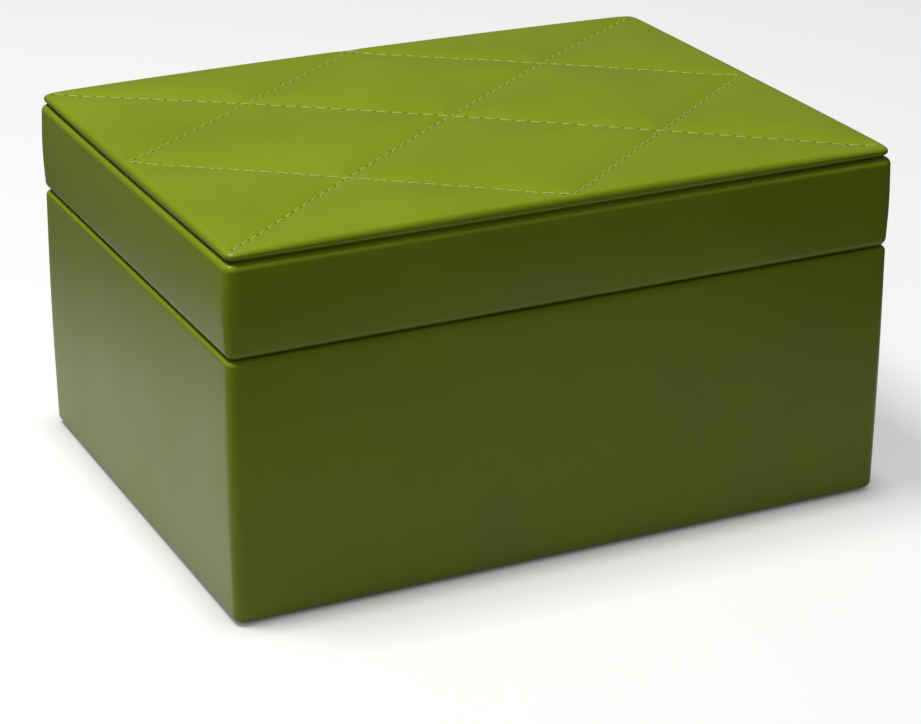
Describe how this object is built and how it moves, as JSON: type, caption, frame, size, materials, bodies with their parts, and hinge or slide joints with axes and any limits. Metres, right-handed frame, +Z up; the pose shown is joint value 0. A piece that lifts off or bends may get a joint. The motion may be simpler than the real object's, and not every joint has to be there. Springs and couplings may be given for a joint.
{
  "type": "presentation box",
  "caption": "Rectangular presentation box for papers and keepsakes, wrapped in leatherette, with a hinged lid, a diamond-quilted top panel and a velvet lining.",
  "frame": {"origin": "middle of the underside, on the surface that the box stands on", "axes": "+X along the long side to the right as seen from the front, +Y towards the hinges at the back, +Z up"},
  "size_m": [0.205, 0.155, 0.11],
  "materials": {
    "olive_leatherette": "smooth polyurethane-coated leatherette, satin",
    "quilting_thread": "twisted polyester sewing thread",
    "beige_velvet": "short-pile velvet",
    "black_felt": "thin pressed felt",
    "fibreboard": "sawn medium-density fibreboard",
    "grey_card": "pressed grey board",
    "foam": "open-cell polyurethane foam",
    "brass": "stamped brass, satin"
  },
  "bodies": {
    "base": {"base_front_board": "fibreboard", "base_lining_front": "beige_velvet", "base_back_board": "fibreboard", "base_lining_back": "beige_velvet", "base_left_board": "fibreboard", "base_lining_left": "beige_velvet", "base_right_board": "fibreboard", "base_lining_right": "beige_velvet", "base_floor_board": "fibreboard", "base_leatherette": "olive_leatherette", "base_felt_sheet": "black_felt", "base_floor_pad": "beige_velvet", "hinge_base_screws": "brass", "hinge_left_base_leaf": "brass", "hinge_left_pin": "brass", "hinge_right_base_leaf": "brass", "hinge_right_pin": "brass"},
    "lid": {"lid_front_rail": "fibreboard", "lid_lining_front": "beige_velvet", "lid_back_rail": "fibreboard", "lid_lining_back": "beige_velvet", "lid_left_rail": "fibreboard", "lid_lining_left": "beige_velvet", "lid_right_rail": "fibreboard", "lid_lining_right": "beige_velvet", "lid_top_board": "fibreboard", "lid_leatherette": "olive_leatherette", "quilt_cover": "olive_leatherette", "quilt_board": "grey_card", "quilt_foam": "foam", "lid_lining_pad": "beige_velvet", "hinge_lid_screws": "brass", "hinge_left_lid_leaf": "brass", "hinge_right_lid_leaf": "brass"}
  },
  "joints": [
    {"name": "lid_hinge", "type": "hinge", "parent": "base", "child": "lid", "pos_m": [0, 0.07617, 0.07785], "axis": [-1, 0, 0], "range_deg": [0, 95]}
  ]
}
